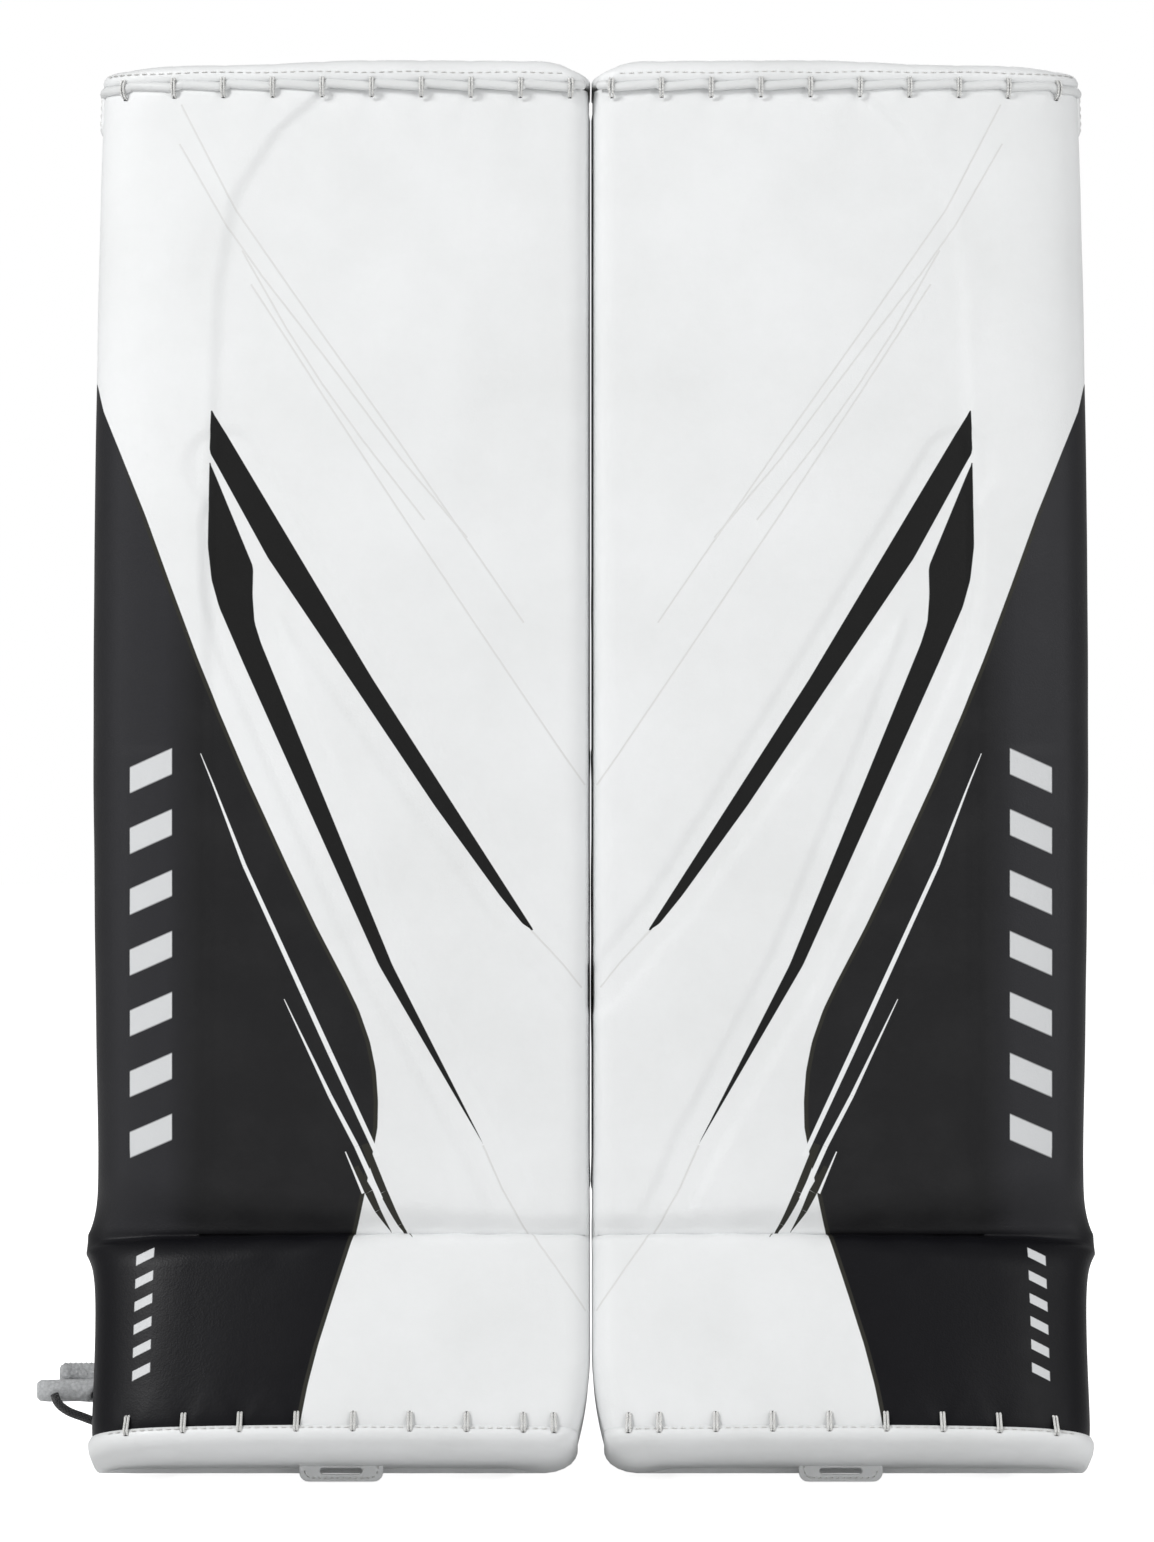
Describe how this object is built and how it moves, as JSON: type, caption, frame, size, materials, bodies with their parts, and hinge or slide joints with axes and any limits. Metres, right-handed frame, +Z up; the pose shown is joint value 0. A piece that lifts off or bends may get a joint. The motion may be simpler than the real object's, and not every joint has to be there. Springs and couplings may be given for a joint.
{
  "type": "goalie leg pads",
  "caption": "Pair of tall padded leg guards for an ice hockey goalkeeper, with boot sections, knee and calf wings, straps and toe ties, standing upright.",
  "frame": {"origin": "on the floor under the middle of the pair, midway between the pads and halfway through their depth", "axes": "+Z up along the pads, -Y out of the playing faces, +X towards the outer side of the right-hand pad as seen from the front"},
  "size_m": [0.602, 0.2128, 0.803],
  "materials": {
    "white_leather": "satin",
    "foam": "matte",
    "board": "matte",
    "rear_fabric": "matte",
    "liner": "matte",
    "strap": "matte",
    "loop_tape": "matte",
    "buckle": "satin",
    "cord": "matte"
  },
  "bodies": {
    "left_pad": {"left_core": "foam", "left_spine_board": "board", "left_face_skin": "white_leather", "left_top_piping": "white_leather", "left_top_cap": "white_leather", "left_back_panel": "rear_fabric", "left_slide_edge": "white_leather", "left_calf_wedge": "liner", "left_knee_block": "liner", "left_knee_cradle": "liner", "left_shin_cradle": "liner"},
    "left_knee_wing": {"left_knee_wing": "rear_fabric"},
    "left_knee_strap": {"left_knee_strap": "strap"},
    "left_calf_wing": {"left_calf_wing": "rear_fabric"},
    "left_calf_strap": {"left_calf_strap": "strap"},
    "left_boot": {"left_boot_core": "foam", "left_boot_skin": "white_leather", "left_toe_cap": "white_leather", "left_boot_back_panel": "rear_fabric", "left_toe_eyelet": "buckle", "left_toe_tab": "white_leather", "left_boot_gusset_outer": "rear_fabric", "left_boot_gusset_inner": "rear_fabric", "left_boot_strap": "strap", "left_boot_buckle": "buckle"},
    "left_toe_tie": {"left_toe_sleeve": "loop_tape", "left_toe_strap": "loop_tape", "left_toe_cord": "cord"},
    "right_pad": {"right_core": "foam", "right_spine_board": "board", "right_face_skin": "white_leather", "right_top_piping": "white_leather", "right_top_cap": "white_leather", "right_back_panel": "rear_fabric", "right_slide_edge": "white_leather", "right_calf_wedge": "liner", "right_knee_block": "liner", "right_knee_cradle": "liner", "right_shin_cradle": "liner"},
    "right_knee_wing": {"right_knee_wing": "rear_fabric"},
    "right_knee_strap": {"right_knee_strap": "strap"},
    "right_calf_wing": {"right_calf_wing": "rear_fabric"},
    "right_calf_strap": {"right_calf_strap": "strap"},
    "right_boot": {"right_boot_core": "foam", "right_boot_skin": "white_leather", "right_toe_cap": "white_leather", "right_boot_back_panel": "rear_fabric", "right_toe_eyelet": "buckle", "right_toe_tab": "white_leather", "right_boot_gusset_outer": "rear_fabric", "right_boot_gusset_inner": "rear_fabric", "right_boot_strap": "strap", "right_boot_buckle": "buckle"},
    "right_toe_tie": {"right_toe_sleeve": "loop_tape", "right_toe_strap": "loop_tape", "right_toe_cord": "cord"}
  },
  "joints": [
    {"name": "right_pad_slide", "type": "slide", "parent": "left_pad", "child": "right_pad", "axis": [1, 0, 0], "range_m": [0, 0.3]},
    {"name": "left_boot_flex", "type": "hinge", "parent": "left_pad", "child": "left_boot", "pos_m": [-0.142, -0.04772, 0.1373], "axis": [1, 0, 0], "range_deg": [-8, 8], "stiffness_Nm_per_rad": 60},
    {"name": "left_knee_wing_flex", "type": "hinge", "parent": "left_pad", "child": "left_knee_wing", "pos_m": [-0.2715, 0.01788, 0.5], "axis": [0, 0, 1], "range_deg": [0, 35], "stiffness_Nm_per_rad": 1},
    {"name": "left_knee_strap_swing", "type": "hinge", "parent": "left_knee_wing", "child": "left_knee_strap", "pos_m": [-0.2783, 0.04308, 0.505], "axis": [0, 0, 1], "range_deg": [0, 50]},
    {"name": "left_calf_wing_flex", "type": "hinge", "parent": "left_pad", "child": "left_calf_wing", "pos_m": [-0.2715, 0.01788, 0.295], "axis": [0, 0, 1], "range_deg": [0, 35], "stiffness_Nm_per_rad": 1},
    {"name": "left_calf_strap_swing", "type": "hinge", "parent": "left_calf_wing", "child": "left_calf_strap", "pos_m": [-0.2783, 0.03958, 0.2975], "axis": [0, 0, 1], "range_deg": [0, 50]},
    {"name": "left_toe_tie_swing", "type": "hinge", "parent": "left_boot", "child": "left_toe_tie", "pos_m": [-0.268, -0.03788, 0.02587], "axis": [0, 0, -1], "range_deg": [0, 45], "stiffness_Nm_per_rad": 0.02},
    {"name": "right_boot_flex", "type": "hinge", "parent": "right_pad", "child": "right_boot", "pos_m": [0.142, -0.04772, 0.1373], "axis": [1, 0, 0], "range_deg": [-8, 8], "stiffness_Nm_per_rad": 60},
    {"name": "right_knee_wing_flex", "type": "hinge", "parent": "right_pad", "child": "right_knee_wing", "pos_m": [0.2715, 0.01788, 0.5], "axis": [0, 0, -1], "range_deg": [0, 35], "stiffness_Nm_per_rad": 1},
    {"name": "right_knee_strap_swing", "type": "hinge", "parent": "right_knee_wing", "child": "right_knee_strap", "pos_m": [0.2783, 0.04308, 0.505], "axis": [0, 0, -1], "range_deg": [0, 50]},
    {"name": "right_calf_wing_flex", "type": "hinge", "parent": "right_pad", "child": "right_calf_wing", "pos_m": [0.2715, 0.01788, 0.295], "axis": [0, 0, -1], "range_deg": [0, 35], "stiffness_Nm_per_rad": 1},
    {"name": "right_calf_strap_swing", "type": "hinge", "parent": "right_calf_wing", "child": "right_calf_strap", "pos_m": [0.2783, 0.03958, 0.2975], "axis": [0, 0, -1], "range_deg": [0, 50]},
    {"name": "right_toe_tie_swing", "type": "hinge", "parent": "right_boot", "child": "right_toe_tie", "pos_m": [0.268, -0.03788, 0.02587], "axis": [0, 0, 1], "range_deg": [-45, 0], "stiffness_Nm_per_rad": 0.02}
  ]
}
